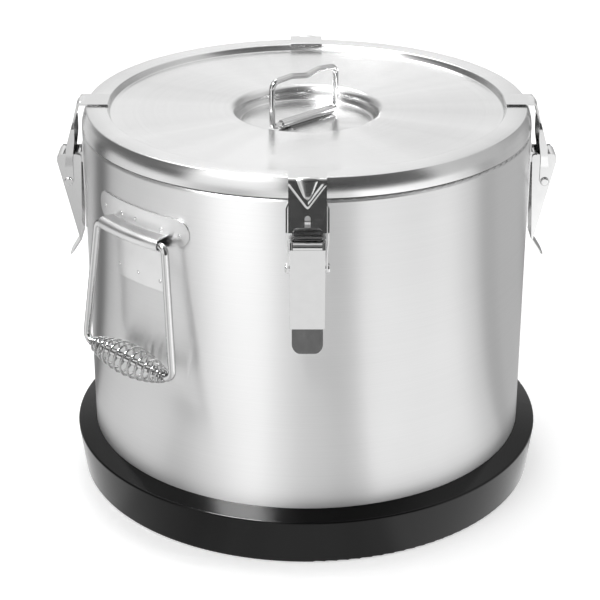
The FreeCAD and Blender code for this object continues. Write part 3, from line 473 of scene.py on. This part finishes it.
# foam of the lid, drawn in under the rounded band, which it clears by these millimetres
FOAM_INSET, FOAM_DROP = 1.5, 1.2
fill = bpy.data.objects.new("lid_foam", frame["nodes"]["lid_insulation"].data.copy())
scene.collection.objects.link(fill)
for vertex in fill.data.vertices:
    reach = math.hypot(vertex.co.x, vertex.co.y)
    rise = min(max(vertex.co.z * 1000 - (SEAM - FOAM_DROP), 0), BAND_ROUND - 1)
    room = (WALL_RADIUS - BAND_ROUND - FOAM_INSET
            + math.sqrt(BAND_ROUND ** 2 - rise ** 2)) / 1000
    if reach > room:
        vertex.co.x *= room / reach
        vertex.co.y *= room / reach
fill.data.materials.clear()
fill.data.materials.append(foam)
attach(fill, "lid")
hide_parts("lid_insulation")

spun_dish = make_steel("polished dish steel", 0.84, smooth=0.16, rough=0.3, stretch=(4, 4, 700),
                       bump=0.25, anisotropy=0.5, spun=True)
finish_node("handle_dish", spun_dish)
finish_node("lid_liner", inner_steel)

# ---------------------------------------------------------------- lid handle
# A bent wire bail turns in a short tube that is welded to the dish floor by its tab.

wire_steel = make_steel("drawn wire steel", 0.74, smooth=0.04, rough=0.1,
                        stretch=(300, 300, 300), bump=0.08)
wire_surface = wire_steel.node_tree.nodes["Principled BSDF"]
wire_surface.inputs["Specular Tint"].default_value = (0.4, 0.4, 0.4, 1)
finish_node("lid_handle", wire_steel)
finish_node("lid_handle_sleeve", wire_steel)

# ---------------------------------------------------------------- latches
# Each toggle latch is pressed from bright steel: a bracket spot-welded to the wall, a folded
# lever that turns on a pin, and a hook that rides on two rivets and grips the lid rim.

latch_steel = make_steel("pressed latch steel", 0.76, smooth=0.1, rough=0.2,
                         stretch=(120, 120, 120), bump=0.05, contrast=0.15)


def soften(node, name, width, material):
    """Copy of a pressed or folded solid with its cut edges rounded off."""
    source = frame["nodes"][node]
    piece = bpy.data.objects.new(name, source.data.copy())
    scene.collection.objects.link(piece)
    show_only(piece)
    bpy.ops.mesh.customdata_custom_splitnormals_clear()
    bpy.ops.object.mode_set(mode="EDIT")
    bpy.ops.mesh.select_all(action="SELECT")
    bpy.ops.mesh.remove_doubles(threshold=0.00001)
    bpy.ops.mesh.dissolve_limited(angle_limit=math.radians(0.5))
    bpy.ops.object.mode_set(mode="OBJECT")
    bpy.ops.object.shade_smooth()
    apply_modifier(piece, "BEVEL", width=width, segments=2, limit_method="ANGLE",
                   angle_limit=math.radians(38), harden_normals=True)
    piece.data.materials.clear()
    piece.data.materials.append(material)
    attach(piece, source["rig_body"])
    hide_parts(node)
    return piece


def copy_round(piece, name, degrees):
    """Copy of a finished piece, turned about the container's axis."""
    twin = bpy.data.objects.new(name, piece.data.copy())
    scene.collection.objects.link(twin)
    twin.data.transform(Matrix.Rotation(math.radians(degrees), 4, "Z"))
    return twin


def ease(value, start, end):
    """Smooth change from 0 at start to 1 at end, which may be below start."""
    share = min(max((value - start) / (end - start), 0), 1)
    return share * share * (3 - 2 * share)


# plate of the hook, laid out flat along its line, then folded over the rim and pressed. Its
# outer face has a lip behind the rim, a level flange and a leaning plate. In millimetres:
HOOK_LENGTH, HOOK_WIDTH, HOOK_CORNER, HOOK_SHEET = 73.8, 30.6, 3.2, 0.0012
LIP_OUT, LIP_UP, LIP_DEPTH, LIP_TURN = 175.6, 345.0, 2.9, 1.6
FLANGE_UP, FLANGE_LENGTH, RIM_TURN = 349.5, 27.6, 2.8
PLATE_SLOPE = math.atan2(38.5, 11.2)


def fold_hook(along):
    """Place and outward direction on the hook's outer face, along its line from the lip."""
    lip_arc = LIP_TURN * math.pi / 2
    flange = FLANGE_LENGTH - LIP_TURN - RIM_TURN * math.tan(PLATE_SLOPE / 2)
    rim_arc = RIM_TURN * PLATE_SLOPE
    if along < LIP_DEPTH:
        return LIP_OUT, LIP_UP + along, -1.0, 0.0
    along -= LIP_DEPTH
    if along < lip_arc:
        angle = along / LIP_TURN
        return (LIP_OUT + LIP_TURN * (1 - math.cos(angle)),
                LIP_UP + LIP_DEPTH + LIP_TURN * math.sin(angle), -math.cos(angle), math.sin(angle))
    along -= lip_arc
    if along < flange:
        return LIP_OUT + LIP_TURN + along, FLANGE_UP, 0.0, 1.0
    along -= flange
    start = LIP_OUT + LIP_TURN + flange
    if along < rim_arc:
        angle = along / RIM_TURN
        return (start + RIM_TURN * math.sin(angle), FLANGE_UP - RIM_TURN * (1 - math.cos(angle)),
                math.sin(angle), math.cos(angle))
    along -= rim_arc
    return (start + RIM_TURN * math.sin(PLATE_SLOPE) + along * math.cos(PLATE_SLOPE),
            FLANGE_UP - RIM_TURN * (1 - math.cos(PLATE_SLOPE)) - along * math.sin(PLATE_SLOPE),
            math.sin(PLATE_SLOPE), math.cos(PLATE_SLOPE))


# the bend over the rim is stiffened by a tapering gusset and a V-shaped rib round it, which
# both fade out at their ends, given as places down the plate from the bend
BEND_PLACE = 31.2
GUSSET_HALF, GUSSET_TAPER, GUSSET_LENGTH, GUSSET_SWELL = 8.6, 6.6, 17, 0.13
GUSSET_HEAD, GUSSET_FOOT = (-5.0, -0.5), (19, 13)
RIB_POINT, RIB_RISE, RIB_SPREAD = 21.5, 16, 12.3
RIB_HALF, RIB_SIDE, RIB_HEIGHT = 2.3, 2.2, 0.4
RIB_HEAD, RIB_FOOT = (2.6, 4.6), (24.5, 21.5)


def press_hook(down, across):
    """Height of the gusset over the bend and of the rib beside it."""
    half = GUSSET_HALF - GUSSET_TAPER * min(max(down, 0), GUSSET_LENGTH) / GUSSET_LENGTH
    dome = math.sqrt(max(1 - (across / half) ** 2, 0))
    gusset = GUSSET_SWELL * half * dome * ease(down, *GUSSET_HEAD) * ease(down, *GUSSET_FOOT)
    offset = (abs((RIB_POINT - down) * RIB_SPREAD - abs(across) * RIB_RISE)
              / math.hypot(RIB_RISE, RIB_SPREAD))
    rib = RIB_HEIGHT * ease(RIB_HALF - offset, 0, RIB_SIDE)
    return max(gusset, rib * ease(down, *RIB_HEAD) * ease(down, *RIB_FOOT))


bpy.ops.mesh.primitive_grid_add(x_subdivisions=126, y_subdivisions=52, size=1)
hook = bpy.context.object
for vertex in hook.data.vertices:
    along = (vertex.co.x + 0.5) * HOOK_LENGTH
    corner = max(HOOK_CORNER - along, 0)
    inset = HOOK_CORNER - math.sqrt(HOOK_CORNER ** 2 - corner ** 2)
    across = vertex.co.y * (HOOK_WIDTH - 2 * inset)
    out, up, lean_out, lean_up = fold_hook(along)
    raised = press_hook(along - BEND_PLACE, across)
    vertex.co = ((out + raised * lean_out) / 1000, across / 1000, (up + raised * lean_up) / 1000)
apply_modifier(hook, "SOLIDIFY", thickness=HOOK_SHEET, offset=-1)

# arch over the lever's upper edge and the notch at its top, each cut by a round-topped block
CUT_PLACE, CUT_DEPTH = 0.222, 0.03
for across, tall, middle, rounding in ((0.0235, 0.012, 0.3062, 0.0035),
                                       (0.0047, 0.016, 0.3134, 0.0022)):
    bpy.ops.mesh.primitive_cube_add(size=1, location=(CUT_PLACE, 0, middle),
                                    scale=(CUT_DEPTH, across, tall))
    cutter = bpy.context.object
    bpy.ops.object.transform_apply(location=True, rotation=True, scale=True)
    bpy.ops.object.mode_set(mode="EDIT")
    bpy.ops.mesh.select_all(action="DESELECT")
    bpy.ops.object.mode_set(mode="OBJECT")
    for edge in cutter.data.edges:
        ends = [cutter.data.vertices[index].co for index in edge.vertices]
        edge.select = abs(ends[0].x - ends[1].x) > 0.01 and ends[0].z > middle
    bpy.ops.object.mode_set(mode="EDIT")
    bpy.ops.mesh.bevel(offset=rounding, segments=6)
    bpy.ops.object.mode_set(mode="OBJECT")
    apply_modifier(hook, "BOOLEAN", operation="DIFFERENCE", object=cutter)
    bpy.data.objects.remove(cutter)

# cheeks of the hook, which spread beside the lever and close in on the rivets. Their outer
# edge follows the leaning plate down to an elbow, and their foot is round about the rivet.
CHEEK_FOOT, CHEEK_TALL, CHEEK_ELBOW = 273.15, 59.0, 308
CHEEK_TOP_OUT, CHEEK_LEAN, CHEEK_ELBOW_OUT, CHEEK_FOOT_OUT = 202.9, 0.291, 214.98, 218.2
CHEEK_INNER, CHEEK_WIDENING, CHEEK_LEAST = 209.4, 2.6, 1.6
CHEEK_SPREAD, CHEEK_CLOSING = 2.1, 1.1
RIVET_OUT, RIVET_UP, RIVET_EDGE = 213.8, 277.5, 4.4
for hand in (1, -1):
    bpy.ops.mesh.primitive_grid_add(x_subdivisions=12, y_subdivisions=60, size=1)
    cheek = bpy.context.object
    for vertex in cheek.data.vertices:
        share = vertex.co.x + 0.5
        up = CHEEK_FOOT + (vertex.co.y + 0.5) * CHEEK_TALL
        if up > CHEEK_ELBOW:
            outer = CHEEK_TOP_OUT + (FLANGE_UP - up) * CHEEK_LEAN
        else:
            outer = CHEEK_FOOT_OUT - ((CHEEK_FOOT_OUT - CHEEK_ELBOW_OUT)
                                      * ease(up, RIVET_UP, CHEEK_ELBOW))
        inner = min(CHEEK_INNER - CHEEK_WIDENING * ease(up, 295, 320), outer - CHEEK_LEAST)
        if up < RIVET_UP:
            chord = math.sqrt(max(RIVET_EDGE ** 2 - (RIVET_UP - up) ** 2, 0.01))
            inner, outer = RIVET_OUT - chord, RIVET_OUT + chord
        side = (HOOK_WIDTH / 2 + CHEEK_SPREAD * ease(up, 333, 326)
                - CHEEK_CLOSING * ease(up, 302, 291))
        vertex.co = ((inner + share * (outer - inner)) / 1000, hand * side / 1000, up / 1000)
    bpy.ops.object.mode_set(mode="EDIT")
    bpy.ops.mesh.select_all(action="SELECT")
    bpy.ops.mesh.normals_make_consistent(inside=False)
    bpy.ops.object.mode_set(mode="OBJECT")
    if cheek.data.polygons[0].normal.y * hand < 0:
        cheek.data.flip_normals()
    apply_modifier(cheek, "SOLIDIFY", thickness=HOOK_SHEET, offset=-1)
    hook.select_set(True)
    bpy.context.view_layer.objects.active = hook
    bpy.ops.object.join()
show_only(hook)
bpy.ops.object.shade_smooth_by_angle(angle=math.radians(40))
apply_modifier(hook, "BEVEL", width=0.0002, segments=1, limit_method="ANGLE",
               angle_limit=math.radians(50))
bpy.ops.object.shade_smooth_by_angle(angle=math.radians(40))
hook.data.materials.append(latch_steel)

LATCH_BEARING = {"front": -90, "right": 0, "back": 90, "left": 180}
for side, bearing in LATCH_BEARING.items():
    plate = copy_round(hook, side + "_hook_plate", bearing)
    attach(plate, side + "_hook")
    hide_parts(side + "_latch_hook")
    soften(side + "_latch_lever", side + "_lever_channel", width=0.0004, material=latch_steel)
    for part in ("bracket", "pin", "rivets"):
        finish_node("%s_latch_%s" % (side, part), latch_steel)
bpy.data.objects.remove(hook)

# ---------------------------------------------------------------- carrying handles
# A folded bracket welded to the wall holds the open ends of a thick wire bail, and a coil of
# thin wire wound round the bar keeps it comfortable in the hand.

plate_steel = make_steel("pressed plate steel", 0.82, smooth=0.26, rough=0.38,
                         stretch=(60, 60, 60), bump=0.08, ripple=0.3)
for side in ("left", "right"):
    soften(side + "_handle_bracket", side + "_handle_plate", width=0.0005, material=plate_steel)
    finish_node(side + "_handle_bail", wire_steel)

# dimples of the spot welds that hold the plates to the wall: place along the wall and height
# in millimetres, on the plates' outer face
WELD_PLACES = ((-47, 289), (-20, 291), (-1, 291), (29, 289), (48, 288), (-26, 243), (0, 243),
               (26, 242))
PLATE_FACE = 201.3
WELD_RING, WELD_ROUND, WELD_FLATNESS = 0.0012, 0.00045, 0.6

# the bail hangs from its hinge with a small lean, and the coil swells to the middle of its bar
HANDLE_BEARING = {"left": 225, "right": 45}
HINGE_OUT, HINGE_UP = 0.208, 0.280
BAR_DROP, BAIL_LEAN = 0.114, math.radians(3.92)
GRIP_HALF, GRIP_MIDDLE, GRIP_END = 0.047, 0.015, 0.0058
COIL_WIRE, COIL_TURNS, COIL_STEPS, COIL_CROWDING = 0.0011, 13, 12, 0.25
# painted shade: the coil's steel is given a darker grey than the bail's wire, so that it looks
# shaded
darkened_coil_steel = make_steel("coil wire steel with painted shade", 0.56, smooth=0.02, rough=0.06,
                        stretch=(300, 300, 300), bump=0.05)

for side, bearing in HANDLE_BEARING.items():
    welds = []
    for arc, up in WELD_PLACES:
        bpy.ops.mesh.primitive_torus_add(major_segments=20, minor_segments=8,
                                         major_radius=WELD_RING, minor_radius=WELD_ROUND)
        dimple = bpy.context.object
        bpy.ops.object.mode_set(mode="EDIT")
        bpy.ops.mesh.select_all(action="SELECT")
        bpy.ops.transform.resize(value=(1, 1, WELD_FLATNESS))
        bpy.ops.object.mode_set(mode="OBJECT")
        turn = math.radians(bearing) + arc / PLATE_FACE
        dimple.data.transform(Matrix.Rotation(turn, 4, "Z")
                              @ Matrix.Translation((PLATE_FACE / 1000, 0, up / 1000))
                              @ Matrix.Rotation(math.pi / 2, 4, "Y"))
        welds.append(dimple)
    show_only(welds[0])
    for dimple in welds:
        dimple.select_set(True)
    bpy.ops.object.join()
    marks = bpy.context.object
    marks.name = side + "_spot_welds"
    bpy.ops.object.shade_smooth()
    marks.data.materials.append(latch_steel)
    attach(marks, "container")

    rise = GRIP_MIDDLE - GRIP_END
    barrel = (GRIP_HALF ** 2 + rise ** 2) / (2 * rise)
    count = COIL_TURNS * COIL_STEPS
    curve = bpy.data.curves.new(side + "_coil_grip", "CURVE")
    curve.dimensions = "3D"
    wire = curve.splines.new("NURBS")
    wire.points.add(count)
    for step, point in enumerate(wire.points):
        share = 2 * step / count - 1
        share = share * (1 + COIL_CROWDING) - COIL_CROWDING * share ** 3
        along = (GRIP_HALF - COIL_WIRE) * share
        reach = math.sqrt(barrel ** 2 - along ** 2) - barrel + GRIP_MIDDLE - COIL_WIRE
        angle = 2 * math.pi * step / COIL_STEPS
        point.co = (reach * math.cos(angle), along, reach * math.sin(angle), 1)
    wire.order_u = 4
    wire.use_endpoint_u = True
    wire.resolution_u = 3
    curve.bevel_depth = COIL_WIRE
    curve.bevel_resolution = 3
    curve.use_fill_caps = True
    grip = bpy.data.objects.new(side + "_coil_grip", curve)
    scene.collection.objects.link(grip)
    show_only(grip)
    bpy.ops.object.convert(target="MESH")
    grip = bpy.context.object
    out = HINGE_OUT + BAR_DROP * math.sin(BAIL_LEAN)
    up = HINGE_UP - BAR_DROP * math.cos(BAIL_LEAN)
    grip.data.transform(Matrix.Rotation(math.radians(bearing), 4, "Z")
                        @ Matrix.Translation((out, 0, up))
                        @ Matrix.Rotation(-BAIL_LEAN, 4, "Y"))
    for face in grip.data.polygons:
        face.use_smooth = True
    grip.data.materials.append(darkened_coil_steel)
    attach(grip, side + "_handle")
    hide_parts(side + "_handle_grip")
